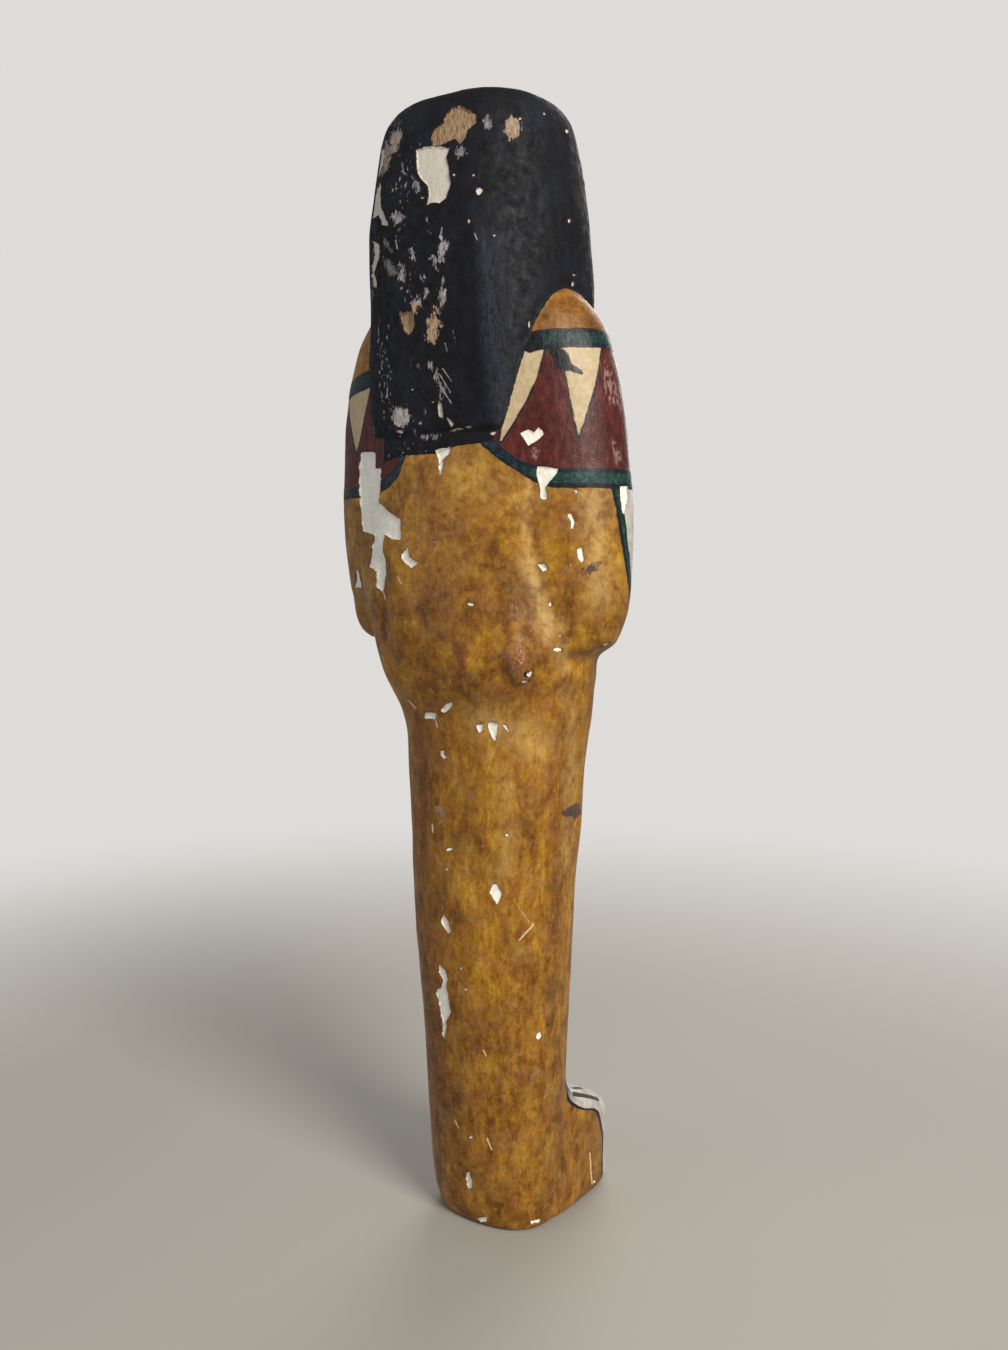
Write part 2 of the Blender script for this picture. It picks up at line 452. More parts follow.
# Varnish rubbed pale, and pooled brown: points and half width.
PALE = [([(528, 470), (525.5, 500), (526, 530), (529, 560)], 3.0, 1.0), ([(529, 560), (537, 590), (545, 615), (550, 636)], 7.5, 1.0),
        ([(504, 770), (508, 830), (503, 870)], 10.0, 0.3), ([(538, 470), (600, 500)], 3.0, 0.3), ([(556, 620), (566, 668)], 7.0, 0.6),
        ([(570, 690), (572, 740), (566, 860)], 6.0, 0.35), ([(594, 490), (600, 600)], 14.0, 0.55), ([(484, 720), (540, 745)], 18.0, 0.5), ([(470, 470), (520, 500)], 20.0, 0.22)]
POOLED = [([(440, 590), (500, 600)], 36.0, 0.45), ([(548, 330), (570, 316), (592, 332)], 15.0, 0.8), ([(458, 648), (464, 680), (488, 692), (510, 704)], 5.0, 0.9),
          ([(510, 632), (506, 652)], 5.0, 0.8), ([(548, 690), (562, 684)], 4.0, 0.7), ([(396, 652), (430, 672), (470, 686), (520, 694), (562, 686)], 9.0, 0.65), ([(398, 640), (418, 660)], 13.0, 0.5), ([(452, 600), (480, 575)], 20.0, 0.35),
          ([(566, 612), (571, 636)], 4.0, 0.7), ([(569, 660), (590, 652), (608, 645)], 2.5, 0.8), ([(380, 560), (381, 640)], 3.0, 0.9),
          ([(474, 706), (478, 760), (474, 800)], 6.0, 0.35), ([(428, 720), (424, 800), (430, 900), (440, 1150)], 15.0, 0.75),
          ([(562, 720), (558, 850), (554, 1040)], 9.0, 0.45), ([(537, 486), (536, 520), (539, 560)], 3.0, 0.5), ([(488, 640), (500, 688), (540, 696)], 5.0, 0.5),
          ([(540, 322), (556, 304), (580, 304), (600, 326)], 7.0, 0.7), ([(503, 655), (508, 682), (522, 690)], 3.0, 0.7), ([(534, 640), (538, 668)], 3.0, 0.5)]

# ---- painted lines round the body ---------------------------------------------------------------------------------
UPPER_Z, UPPER_TILT, BAND_HALF = 182.9, -0.1, 1.62
lower_back = stations([[-40, 159.0], [-27, 158.9], [-23.8, 159.5], [-20.2, 161.3], [-16.5, 163.9], [-13.9, 166.2], [-10.5, 169.6], [0.5, 170.5],
                       [3.8, 167.0], [5.7, 163.9], [7.3, 161.1], [11.1, 158.9], [15.0, 157.9], [19.3, 157.7], [40, 157.7]])
gold_edge = stations([[-20, 167.5], [-12.7, 166.0], [-7.1, 165.4], [-3.4, 164.3], [5.7, 164.2], [10, 163.5]])
# The front panel's edge on the right side: height, turn about the axis. The left side mirrors it.
panel_turn = stations([[0, 236.5], [5, 237.8], [9.8, 238.6], [15.9, 234.6], [19.0, 231.0], [20.2, 227.4], [21.8, 219.0], [24.3, 210.7], [26, 207.0], [30, 207], [36, 209], [70, 211], [108, 212], [125, 200], [137, 186.8],
                       [145, 181.2], [151, 178.4], [157, 176.4], [175, 172]])
# Cream wedges between the bands: turn at the left and right of the top, turn and height of the point.
WEDGES = [(144.0, 156.5, 137.5, 165.6, 1.5), (160.3, 177.4, 165.4, 166.6), (183.5, 200.5, 192, 165.5), (206, 223, 214.5, 165.5), (228.5, 243, 236, 166),
          (248, 262, 255, 166), (278, 292, 285, 166), (297, 311.5, 304, 166), (317, 334, 325.5, 165.5), (339.5, 356.5, 348, 165.5),
          (14.5, 40.5, 29.0, 165.8), (-1.0, 9.0, 3.0, 165.5)]


def polar(x, y):
    return np.degrees(np.arctan2(y - 3, x)), np.hypot(x, y - 3)


def turned(phi, at):
    return (phi - at + 180) % 360 - 180


def lattice(p, seed):
    """Smooth value noise from -1 to 1, one lump to a unit."""
    i = np.floor(p).astype(np.int64)
    f = p - i
    f = f * f * (3 - 2 * f)
    total = 0.0
    for dx in (0, 1):
        for dy in (0, 1):
            for dz in (0, 1):
                h = (i[:, 0] + dx) * 374761393 + (i[:, 1] + dy) * 668265263 + (i[:, 2] + dz) * 2147483647 + seed * 1274126177
                h = (h ^ (h >> 13)) * 1274126177
                h = ((h ^ (h >> 16)) & 0xFFFF) / 32767.5 - 1
                w = (f[:, 0] if dx else 1 - f[:, 0]) * (f[:, 1] if dy else 1 - f[:, 1]) * (f[:, 2] if dz else 1 - f[:, 2])
                total = total + w * h
    return total


def fields(p, normal):
    """Every painted or worn area as a depth in millimetres, positive inside."""
    x, y, z = local(p)
    phi, radius = polar(x, y)
    out = {}
    bare = join(body_form(x, y, z), sleeves_form(x, y, z), 3)
    hands = hands_form(x, y, z)
    wig = wig_form(x, y, z)
    face = face_form(x, y, z)
    beard = beard_form(x, y, z)
    ears = ears_form(x, y, z)
    skin = np.minimum(face, ears)
    rest = np.minimum(np.minimum(bare, hands), np.minimum(skin, beard))
    hair = np.clip(rest - wig + 0.25, -6, 6)
    # the wig's paint runs down over its hem to the gold
    under = np.minimum(z - gold_edge(x)[0], HEM_Z + 1.5 - z)
    under = np.minimum(under, np.minimum(x + 15.5, 11.5 - x))
    under = np.where(y > 6, under, -6)
    out["hair"] = np.maximum(hair, under)
    body_only = bare - wig > -0.4
    out["skin"] = np.clip(np.minimum(bare, wig) - skin + 0.1, -6, 6)
    out["beard"] = np.clip(np.minimum(np.minimum(bare, wig), face) - beard + 0.1, -6, 6)
    out["hand"] = np.clip(np.minimum(bare, wig) - hands + 0.1, -6, 6)

    slope = UPPER_TILT
    out["upper"] = np.clip((z - (UPPER_Z + UPPER_TILT * x)) / math.hypot(1, slope), -30, 30)
    ahead_z = 158.35 - 0.65 * np.clip(x / 26, -1, 1)
    low = np.where(y > 3, lower_back(x)[0], ahead_z)
    low2 = np.where(y > 3, lower_back(x + 0.2)[0], ahead_z)
    out["lower"] = np.clip((z - low) / np.hypot(1, (low2 - low) / 0.2 * 0.75), -30, 30)

    # cream wedges, in arc length and height
    top = UPPER_Z + UPPER_TILT * x
    cream = np.full(x.shape, -9.0)
    for a, b, c, zc, *bulge in WEDGES:
        s = np.radians(turned(phi, c)) * radius
        w = np.radians(turned(phi, c))
        sa, sb = math.radians(a - c) * radius, math.radians(b - c) * radius
        rise = np.maximum(top - zc, 1)
        up = z - zc
        left = (s - sa * up / rise) / np.hypot(1, sa / rise)
        rightward = (sb * up / rise + sum(bulge) * np.sin(np.clip(up / rise, 0, 1) * math.pi) - s) / np.hypot(1, sb / rise)
        d = np.minimum(left, rightward)
        d = np.where(np.abs(w) < 0.7, d, -9)
        cream = np.maximum(cream, np.clip(d, -9, 9))
    out["cream"] = cream

    edge = panel_turn(z)[0]
    from_right = np.radians(turned(phi, edge)) * radius
    from_left = np.radians(turned(180 - edge, phi)) * radius
    front = np.where(y < 3, np.minimum(from_right % 400, 400), from_right)
    del front
    a = turned(phi, edge)
    b = turned(180 - edge, phi)
    inside = np.where((phi % 360 > 170), np.where(phi % 360 < 270, a, b), np.where(phi % 360 > 90, a, b))
    out["panel"] = np.clip(np.radians(inside) * radius, -12, 12)
    del from_left

    # ink on the panel: upright rules and rows of plain strokes
    ink = np.full(x.shape, -5.0)
    low_edge = 1.6
    for rule in (-9.6, -5.0, 5.0, 9.6):
        wob = 0.25 * np.sin(z * 0.23 + rule) + 0.12 * np.sin(z * 0.71 + 2 * rule)
        ink = np.maximum(ink, 0.36 - np.abs(x - rule - wob))
    rng = np.random.RandomState(7)
    row = 146.0
    while row > 8:
        tall = 2.6
        kind = rng.randint(0, 4)
        if kind == 0:  # two upright strokes
            for o in (-1.6, 1.5):
                ink = np.maximum(ink, np.minimum(0.33 - np.abs(x - o - 0.1 * rng.randn()), tall / 2 - np.abs(z - row)))
        elif kind == 1:  # a level stroke
            ink = np.maximum(ink, np.minimum(2.7 - np.abs(x - 0.2 * rng.randn()), 0.34 - np.abs(z - row - 0.05 * x)))
        elif kind == 2:  # three short upright strokes
            for o in (-2.4, 0.0, 2.4):
                ink = np.maximum(ink, np.minimum(0.3 - np.abs(x - o), tall / 2 - 0.3 - np.abs(z - row)))
        else:  # two level strokes
            for o in (-0.75, 0.75):
                ink = np.maximum(ink, np.minimum(2.1 - np.abs(x), 0.3 - np.abs(z - row - o)))
        row -= 4.3
    on_front = (y < -2) & (z < 149)
    ink = np.where(on_front, np.minimum(ink, out["panel"] - 1.2), -5.0)
    ink = np.minimum(ink, -(np.maximum(out["hand"], 0)) + 5)
    out["ink"] = np.clip(ink, -5, 5)

    # eyes and brows
    side = np.abs(x)
    eu, ev = side - 4.8, z - 207.2
    bend = ev + 0.03 * eu * eu
    white = np.minimum(1.5 - 0.17 * eu * eu * np.where(eu < 0, 1.15, 0.95) - np.abs(bend), 3.2 - np.abs(eu))
    liner = np.maximum(white + 0.42, np.minimum(0.34 - np.abs(ev + 0.15), np.minimum(eu - 1.0, 6.0 - eu)))
    iris = 1.15 - np.hypot(eu + 0.1, bend - 0.1)
    brow = np.minimum(0.42 - np.abs(z - 211.4 + 0.055 * (side - 5.6) ** 2), np.minimum(side - 1.7, 9.6 - side))
    mouth = np.minimum(0.22 - np.abs(z - 197.95 - 0.035 * side**2), 3.1 - side)  # the line where the lips meet
    brow = np.maximum(brow, mouth)
    at_face = (y < -14) & (z > 190)
    out["eyewhite"] = np.where(at_face, np.clip(white, -5, 5), -5)
    out["eyeink"] = np.where(at_face, np.clip(np.maximum(np.maximum(np.minimum(liner, -white + 0.05), np.minimum(iris, white)), brow), -5, 5), -5)

    # wear that the photograph shows, on what faces the camera
    u, v, depth = in_photo(p)
    px = FOCAL / depth
    facing = ((eye - p) * normal).sum(1) / np.linalg.norm(eye - p, axis=1)
    for a, b, half in FOOT_BARS:
        out["ink"] = np.maximum(out["ink"], np.clip(-limb(-side, y, z, a, b, half, half), -5, 5))
    plain = step(0.05, 0.3, facing) * (z < 206)
    for name, lines in (("pale", PALE), ("pooled", POOLED)):
        out[name] = np.zeros(x.shape)
        for pts, half, much in lines:
            out[name] = np.maximum(out[name], much * plain * np.exp(-((line_depth(u, v, pts, 0.0) / half) ** 2)))
    seen_wig = (facing > 0.03) & (out["hair"] > -0.4) & (z > 160) & ~((z < 166) & (out["hair"] < 0))
    seen_body = (facing > 0.03) & (out["hair"] < 0.8)
    # the far shoulder and arm, hidden behind the wig in the photograph
    hidden = (x > 0) & (z > 163) & (u > 376)
    seen_body &= ~hidden
    gesso = np.full(x.shape, -9.0)
    for c in CHIPS_BODY:
        gesso = np.where(seen_body, np.maximum(gesso, polygon_depth(u, v, c) / px), gesso)
    for s in SPOTS_BODY:
        gesso = np.where(seen_body, np.maximum(gesso, spot_depth(u, v, *s) / px), gesso)
    for c in CHIPS_WIG:
        gesso = np.where(seen_wig, np.maximum(gesso, polygon_depth(u, v, c) / px), gesso)
    for s in SPOTS_WIG:
        gesso = np.where(seen_wig, np.maximum(gesso, spot_depth(u, v, *s) / px), gesso)
    scratch = np.full(x.shape, -9.0)
    for pts, half in SCRATCHES:
        scratch = np.where(seen_body, np.maximum(scratch, line_depth(u, v, pts, half) / px), scratch)
    for pts, half in FINE_LINES_WIG:
        scratch = np.where(seen_wig, np.maximum(scratch, line_depth(u, v, pts, half) / px), scratch)
    wood = np.full(x.shape, -9.0)
    for c in WOOD_WIG:
        wood = np.where(seen_wig, np.maximum(wood, polygon_depth(u, v, c) / px), wood)
    scuff = np.full(x.shape, -9.0)
    scuff_way = np.zeros(x.shape)
    tan = step(500, 502, u) * (1 - step(145, 150, v)) * 0.8 + step(122, 131, v) * (1 - step(168, 174, v)) * (1 - step(404, 415, u)) * 0.5 + step(300, 306, v) * (1 - step(340, 346, v))
    for c, way in SCUFFS:
        d = np.where(seen_wig, polygon_depth(u, v, c) / px, -9)
        scuff_way = np.where(d > scuff, way, scuff_way)
        scuff = np.maximum(scuff, d)
    for cu, cv, ru, rv, lean, way in SCUFF_SPOTS:
        d = np.where(seen_wig, spot_depth(u, v, cu, cv, ru, rv, lean) / px, -9)
        scuff_way = np.where(d > scuff, way, scuff_way)
        scuff = np.maximum(scuff, d)
    dark = np.full(x.shape, -9.0)
    for c in DARK_MARKS:
        dark = np.where(seen_body, np.maximum(dark, polygon_depth(u, v, c) / px), dark)
    for s in DARK_SPOTS:
        dark = np.where(seen_body, np.maximum(dark, spot_depth(u, v, *s) / px), dark)
    grey = np.full(x.shape, -9.0)
    for c in GREY_MARKS:
        grey = np.where(seen_body, np.maximum(grey, polygon_depth(u, v, c) / px), grey)

    rag1, rag2 = 0.9 * lattice(p * 0.8, 41) + 0.4 * lattice(p * 2.1, 42), 0.9 * lattice(p * 0.7, 43) + 0.5 * lattice(p * 2.3, 44)
    # a few plain chips of the same kind on the sides the photograph doesn't show: turn, height, half sizes, lean
    for turn, at, ru, rv, lean in ((262, 52, 1.1, 2.4, 12), (283, 91, 1.6, 1.2, -30), (236, 128, 1.3, 2.2, 20), (300, 140, 1.0, 1.9, 5),
                                   (352, 150, 1.4, 3.4, 10), (8, 98, 1.0, 2.2, -8), (345, 62, 0.9, 1.5, 0), (10, 30, 1.2, 2.0, 15), (270, 3.5, 4.0, 1.2, 0),
                                   (318, 6, 1.6, 2.0, 30), (333, 171, 1.0, 1.4, 0), (247, 14, 1.0, 1.3, 0), (25, 76, 0.8, 1.2, 0), (296, 189, 1.3, 2.4, 10),
                                   (338, 216, 1.5, 3.2, -10), (12, 205, 1.1, 2.0, 0), (252, 225, 1.8, 1.3, 25), (206, 222, 1.2, 2.1, 0)):
        s = np.radians(turned(phi, turn)) * radius
        gesso = np.maximum(gesso, np.clip(spot_depth(s + rag1, -(z - at) + rag2, 0, 0, ru, rv, lean) - 0.1, -9, 9))
    out["gesso"], out["scratch"], out["wood"] = gesso, scratch, wood
    out["scuff"], out["scuffway"], out["dark"], out["grey"] = scuff, scuff_way, dark, grey
    out["scufftan"] = np.where(scuff > -1, tan, 0)
    out["knot"] = spot_depth(u, v, 519, 662, 13, 21, -22) / px
    out["knot"] = np.where(seen_body, out["knot"], -9)
    out["body"] = np.where(body_only, 1.0, 0.0)
    return out


# ---- mesh, refined along every edge of paint, chip and carving ------------------------------------------------------
def mesh_of(pts, faces, name):
    me = bpy.data.meshes.new(name)
    me.from_pydata([tuple(p) for p in pts], [], faces)
    me.update()
    return me


def arrays(me):
    co = np.empty(len(me.vertices) * 3)
    me.vertices.foreach_get("co", co)
    no = np.empty(len(me.vertices) * 3)
    me.vertices.foreach_get("normal", no)
    return co.reshape(-1, 3), no.reshape(-1, 3)


def settle(p):
    """Puts points that were cut into edges back on the carved surface."""
    p = p.copy()
    band = (p[:, 2] > ROUND + 0.05) & (p[:, 2] <= levels[-1] + 1e-6)
    q = p[band]
    c = hub(q[:, 2])
    d = q - c
    r = np.hypot(d[:, 0], d[:, 1])
    w = d / r[:, None]
    w[:, 2] = 0
    p[band] = c + w * reach(c, w, r)[:, None]
    high = p[:, 2] > levels[-1] + 1e-6
    q = p[high]
    d = q - top_hub
    r = np.linalg.norm(d, axis=1)
    w = d / r[:, None]
    p[high] = top_hub + w * reach(np.repeat(top_hub[None], len(q), 0), w, r)[:, None]
    return p


def refine(me, wanted):
    """Splits every face whose corners are all wanted, and the edges of its neighbours with it."""
    bm = bmesh.new()
    bm.from_mesh(me)
    bm.verts.ensure_lookup_table()
    edges = set()
    for f in bm.faces:
        if len(f.verts) == 4 and sum(wanted[v.index] for v in f.verts) >= 3:
            edges.update(f.edges)
    n = len(bm.verts)
    bmesh.ops.subdivide_edges(bm, edges=list(edges), cuts=1, use_grid_fill=True)
    bm.verts.ensure_lookup_table()
    bm.to_mesh(me)
    bm.free()
    me.update()
    co, _ = arrays(me)
    new = np.arange(len(co)) >= n
    co[new] = settle(co[new])
    me.vertices.foreach_set("co", co.ravel())
    me.update()


me = mesh_of(points, [tuple(map(int, q)) for q in quads] + caps, "carved_wood")
co, no = arrays(me)
if (no[idx[60, 0]] @ (co[idx[60, 0]] - hub(co[idx[60, 0], 2]))) < 0:
    me.flip_normals()
    me.update()

LEVELS = 2
for level in range(LEVELS):
    co, no = arrays(me)
    F = fields(co, no)
    x, y, z = local(co)
    if level == 0:
        near = (np.abs(F["gesso"]) < 0.85) | (np.abs(F["wood"]) < 0.9) | (np.abs(F["scratch"]) < 0.6)
        near |= (np.abs(F["scuff"]) < 0.5) | (np.abs(F["dark"]) < 0.5)
        collar = (F["upper"] < 0.5) & (F["lower"] > 0) & (F["hair"] < 0) & (x < -14)
        near |= collar & (np.abs(F["cream"]) < 0.5) & (no[:, 1] > -0.1)
        near |= (np.abs(F["hair"]) < 0.7) & (y > 2) & (z < 200)
        near |= (y < -13) & (z > 190) & (z < 215) & (np.abs(x) < 11.5)
        near |= (y < -13) & (z > 155) & (z < 167) & (np.abs(x) < 14)
        near |= np.abs(F["ink"]) < 0.45
    else:
        near = (np.abs(F["gesso"]) < 0.32) | (np.abs(F["wood"]) < 0.3) | (np.abs(F["scratch"]) < 0.3)
        near |= (np.abs(F["eyewhite"]) < 0.3) | (np.abs(F["eyeink"]) < 0.3)
    refine(me, near)

co, no = arrays(me)
F = fields(co, no)
x, y, z = local(co)

# relief: the hand-cut surface, chips through the paint, pressed strokes
FOLDS = [
    ([(538, 486), (534, 510), (532, 545), (538, 580), (549, 610), (560, 640), (566, 655)], 0.60, 2.3),
    ([(566, 664), (585, 656), (606, 646)], 0.28, 1.1), ([(572, 662), (563, 676), (558, 690), (561, 702)], 0.45, 1.3),
    ([(379, 560), (381, 590), (381.5, 642)], 0.75, 1.3), ([(384, 650), (402, 668), (430, 678)], 0.25, 2.0),
    ([(404, 690), (430, 702), (480, 708), (530, 702), (565, 694)], 0.40, 3.4),
    ([(524, 634), (533, 648), (539, 666), (536, 681), (524, 688)], 0.42, 0.8), ([(506, 640), (503, 658), (508, 678)], 0.25, 1.6), ([(392, 600), (398, 640), (420, 664), (450, 668)], 0.25, 2.2),
]
steady = step(1.5, 6, z)
wave = 0.26 * lattice(co / [10, 10, 21], 1) + 0.13 * lattice(co / [4.2, 4.2, 9.5], 2) + 0.05 * lattice(co / [1.9, 1.9, 4.2], 3)
front_calm = np.where((y < -10) & (z > 150), 0.25, 1.0)
move = wave * steady * front_calm
ragged = 0.16 * lattice(co / 0.8, 5) + 0.08 * lattice(co / 0.35, 6)
chip = step(-0.07, 0.09, F["gesso"] + ragged)
deep = step(-0.07, 0.09, F["wood"] + ragged)
graze = step(-0.05, 0.10, F["scratch"])
rub = step(-0.1, 0.2, F["scuff"] + 2 * ragged) * F["scuffway"]
move = move - 0.30 * chip - 0.48 * deep * (1 - chip) - 0.10 * graze * (1 - chip) - 0.06 * rub
move += 0.10 * (1 - chip) * step(-0.35, -0.02, F["gesso"]) * (F["gesso"] < 0)  # lifted paint at the rim
move -= 0.12 * step(-0.08, 0.12, F["ink"])
# collar paint stands a little proud of the ground
band = np.maximum(step(-0.2, 0.1, BAND_HALF - np.abs(F["upper"])), step(-0.2, 0.1, BAND_HALF - np.abs(F["lower"])))
move += 0.07 * band * (F["hair"] < -0.2) * (1 - chip)
# folds between arm and back, under the elbow and under the seat, and the wig's back corner
u, v, depth = in_photo(co)
look = eye - co
facing = (look * no).sum(1) / np.linalg.norm(look, axis=1)
for pts, deep_mm, wide in FOLDS:
    away = -line_depth(u, v, pts, 0.0) * depth / FOCAL
    move -= deep_mm * np.exp(-((away / wide) ** 2)) * step(0.0, 0.2, facing) * (1 - step(-0.3, 0.3, F["hair"]))
phi, radius = polar(x, y)
corner = np.radians(turned(phi, 126.6 + (192.7 - z) * 0.28)) * radius
F["facet"] = step(-0.6, 0.9, corner) * (1 - step(1.5, 9.0, corner)) * step(168, 171, z) * (1 - step(196, 216, z))
move += 0.45 * np.exp(-((corner / 2.2) ** 2)) * step(168, 174, z) * (1 - step(202, 216, z)) * step(0, 0.3, F["hair"])
# the knot's small hole
facing = facing > 0
hole = np.where(facing, spot_depth(u, v, 527.5, 675, 3.6, 3.2, 20), -9)
F["hole"] = hole / 5
move -= 0.8 * step(-0.8, 1.2, hole)
move *= np.where(z < 0.02, 0, 1)
co = co + no * move[:, None]
co[:, 2] = np.maximum(co[:, 2], 0)

me.vertices.foreach_set("co", ((co - MID) / 1000).ravel())
me.update()
for p in me.polygons:
    p.use_smooth = True

for name in ("hair", "skin", "beard", "hand", "upper", "lower", "cream", "panel", "ink", "eyewhite", "eyeink", "gesso", "scratch", "wood", "scuff",
             "scuffway", "scufftan", "dark", "grey", "knot", "hole", "pale", "pooled", "facet"):
    layer = me.attributes.new(name, "FLOAT", "POINT")
    layer.data.foreach_set("value", F[name].astype(np.float32))
layer = me.attributes.new("form", "FLOAT_VECTOR", "POINT")
layer.data.foreach_set("vector", co.astype(np.float32).ravel())

figure = bpy.data.objects.new("ushabti_painted", me)
bpy.context.scene.collection.objects.link(figure)
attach(figure, "root")
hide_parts("carved_figure")


# ---- materials --------------------------------------------------------------------------------------------------
class Graph:
    def __init__(self, mat):
        mat.use_nodes = True
        self.t = mat.node_tree
        self.t.nodes.clear()
        self.cache = {}

    def put(self, socket, value):
        if isinstance(value, bpy.types.NodeSocket):
            self.t.links.new(value, socket)
        elif value is not None:
            if hasattr(socket.default_value, "__len__") and isinstance(value, (tuple, list)) and len(value) == 3 and len(socket.default_value) == 4:
                value = (*value, 1.0)
            socket.default_value = value

    def attr(self, name, vector=False):
        if name not in self.cache:
            n = self.t.nodes.new("ShaderNodeAttribute")
            n.attribute_name = name
            self.cache[name] = n
        return self.cache[name].outputs["Vector" if vector else "Fac"]

    def math(self, op, a, b=None, c=None, clamp=False):
        n = self.t.nodes.new("ShaderNodeMath")
        n.operation = op
        n.use_clamp = clamp
        for s, v in zip(n.inputs, (a, b, c)):
            self.put(s, v)
        return n.outputs[0]

    def add(self, *a):
        out = a[0]
        for b in a[1:]:
            out = self.math("ADD", out, b)
        return out

    def mul(self, *a):
        out = a[0]
        for b in a[1:]:
            out = self.math("MULTIPLY", out, b)
        return out

    def sub(self, a, b):
        return self.math("SUBTRACT", a, b)

    def maxi(self, a, b):
        return self.math("MAXIMUM", a, b)

    def mini(self, a, b):
        return self.math("MINIMUM", a, b)

    def flip(self, a):
        return self.math("SUBTRACT", 1.0, a)

    def ramp(self, x, lo, hi, a=0.0, b=1.0, smooth=True):
        n = self.t.nodes.new("ShaderNodeMapRange")
        n.interpolation_type = "SMOOTHSTEP" if smooth else "LINEAR"
        n.clamp = True
        for s, v in zip(n.inputs, (x, lo, hi, a, b)):
            self.put(s, v)
        return n.outputs["Result"]

    def scaled(self, vec, s):
        n = self.t.nodes.new("ShaderNodeVectorMath")
        n.operation = "MULTIPLY"
        self.put(n.inputs[0], vec)
        n.inputs[1].default_value = s
        return n.outputs[0]

    def shifted(self, vec, s):
        n = self.t.nodes.new("ShaderNodeVectorMath")
        n.operation = "ADD"
        self.put(n.inputs[0], vec)
        n.inputs[1].default_value = s
        return n.outputs[0]

    def noise(self, vec, scale, detail=2.0, rough=0.5, distort=0.0, seed=0.0, kind="FBM"):
        n = self.t.nodes.new("ShaderNodeTexNoise")
        n.noise_dimensions = "3D"
        n.noise_type = kind
        self.put(n.inputs["Vector"], self.shifted(vec, (seed * 17.3, seed * 5.1, seed * 9.7)) if seed else vec)
        n.inputs["Scale"].default_value = scale
        n.inputs["Detail"].default_value = detail
        n.inputs["Roughness"].default_value = rough
        n.inputs["Distortion"].default_value = distort
        return n.outputs["Fac"]

    def cells(self, vec, scale, feature="F1", random=1.0):
        n = self.t.nodes.new("ShaderNodeTexVoronoi")
        n.feature = feature
        self.put(n.inputs["Vector"], vec)
        n.inputs["Scale"].default_value = scale
        n.inputs["Randomness"].default_value = random
        return n.outputs["Distance"]

    def mix(self, f, a, b, mode="MIX"):
        n = self.t.nodes.new("ShaderNodeMix")
        n.data_type = "RGBA"
        n.blend_type = mode
        n.clamp_factor = True
        self.put(n.inputs[0], f)
        self.put(n.inputs[6], a)
        self.put(n.inputs[7], b)
        return n.outputs[2]

    def lerp(self, f, a, b):
        n = self.t.nodes.new("ShaderNodeMix")
        n.data_type = "FLOAT"
        self.put(n.inputs[0], f)
        self.put(n.inputs[2], a)
        self.put(n.inputs[3], b)
        return n.outputs[0]

    def colours(self, f, stops):
        n = self.t.nodes.new("ShaderNodeValToRGB")
        e = n.color_ramp.elements
        while len(e) < len(stops):
            e.new(0.5)
        for el, (pos, col) in zip(e, stops):
            el.position = pos
            el.color = (*col, 1)
        self.put(n.inputs[0], f)
        return n.outputs[0]


def srgb(r, g, b):
    return tuple(((c / 255 + 0.055) / 1.055) ** 2.4 if c > 10 else c / 255 / 12.92 for c in (r, g, b))


mat = bpy.data.materials.new("painted_gessoed_wood")
g = Graph(mat)
P = g.attr("form", True)

# slow shifts that make every painted edge hand-drawn: about a millimetre, and about a third of one
wob = g.mul(g.sub(g.noise(P, 0.42, 2, 0.5, seed=1), 0.5), 2.0)
fray = g.mul(g.sub(g.noise(P, 1.7, 3, 0.6, seed=2), 0.5), 2.0)
grit = g.noise(P, 6.5, 2, 0.6, seed=3)


def mask(field, wobble=0.0, frayed=0.0, soft=0.08, shift=0.0):
    x = g.add(g.attr(field) if isinstance(field, str) else field, shift)
    if wobble:
        x = g.add(x, g.mul(wob, wobble))
    if frayed:
        x = g.add(x, g.mul(fray, frayed))
    return g.ramp(x, -soft, soft)


# ochre under a patchy brown varnish
X = g.t.nodes.new("ShaderNodeSeparateXYZ")
g.put(X.inputs[0], P)
Z = X.outputs[2]
torso = g.ramp(Z, 98.0, 122.0)
blotch = g.lerp(torso, g.noise(g.scaled(P, (1, 1, 0.5)), 0.22, 5, 0.62, 0.5, seed=4), g.noise(g.scaled(P, (1, 1, 0.85)), 0.15, 5, 0.62, 0.5, seed=4))
blotch2 = g.lerp(torso, g.noise(g.scaled(P, (1, 1, 0.6)), 0.62, 5, 0.66, 0.5, seed=5), g.noise(P, 0.5, 4, 0.6, 0.3, seed=5))
streak = g.noise(g.scaled(P, (1, 1, 0.16)), 1.0, 3, 0.6, 0.4, seed=6)
fine = g.noise(g.scaled(P, (1, 1, 0.8)), 2.0, 3, 0.6, seed=7)
tone = g.add(g.mul(blotch, 0.50), g.mul(blotch2, 0.36), g.mul(streak, g.lerp(torso, 0.16, 0.10)), g.mul(fine, 0.18))
tone = g.ramp(tone, 0.46, 0.78, 0.05, 0.93, smooth=False)
tone = g.add(tone, g.mul(g.attr("pooled"), -0.26), g.mul(g.attr("pale"), 0.16), g.lerp(g.ramp(Z, 20.0, 112.0), -0.13, 0.0), g.mul(g.ramp(Z, 134.0, 156.0), 0.07))
ochre = g.colours(tone, [
    (0.0, srgb(92, 55, 14)), (0.26, srgb(128, 81, 18)), (0.50, srgb(160, 110, 26)), (0.74, srgb(189, 140, 43)), (1.0, srgb(216, 175, 84)),
])
